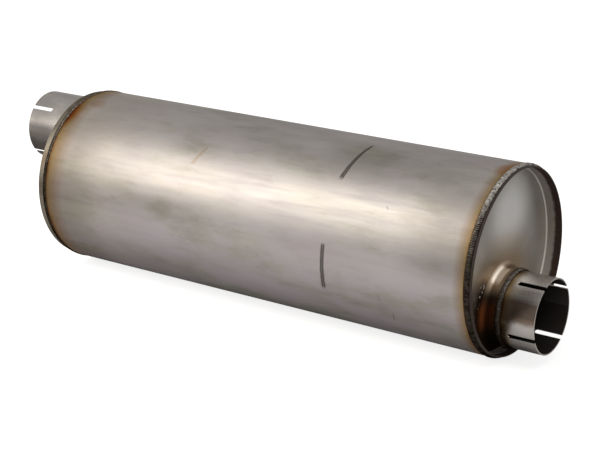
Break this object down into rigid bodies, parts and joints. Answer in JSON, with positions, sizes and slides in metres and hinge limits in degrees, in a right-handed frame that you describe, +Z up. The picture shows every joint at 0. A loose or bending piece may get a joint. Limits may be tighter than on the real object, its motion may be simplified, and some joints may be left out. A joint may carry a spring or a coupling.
{
  "type": "muffler",
  "caption": "Round steel muffler with offset slotted inlet and outlet stubs on dished heads, and perforated tubes between baffles inside.",
  "frame": {"origin": "middle of the whole length, on the axis of the round body", "axes": "+X along the body from the inlet to the outlet, +Z up, the inlet stub above the axis and the outlet stub below it"},
  "size_m": [0.8636, 0.2554, 0.2555],
  "materials": {
    "shell_steel": "satin rolled sheet",
    "head_steel": "satin pressed sheet",
    "stub_steel": "satin tube, heat tinted at the weld",
    "weld": "rippled dark bead",
    "inner_steel": "plain mill sheet"
  },
  "bodies": {
    "root": {"shell": "shell_steel", "shell_seam_weld": "weld", "inlet_head": "head_steel", "outlet_head": "head_steel", "inlet_rim_weld": "weld", "outlet_rim_weld": "weld", "inlet_stub": "stub_steel", "outlet_stub": "stub_steel", "inlet_neck_weld": "weld", "outlet_neck_weld": "weld", "inlet_tube": "inner_steel", "outlet_tube": "inner_steel", "inlet_joint_tacks": "weld", "outlet_joint_tacks": "weld", "front_return_tube": "inner_steel", "front_return_tacks": "weld", "rear_return_tube": "inner_steel", "rear_return_tacks": "weld", "inlet_baffle": "inner_steel", "outlet_baffle": "inner_steel", "inlet_baffle_stitches": "weld", "outlet_baffle_stitches": "weld"}
  },
  "joints": []
}
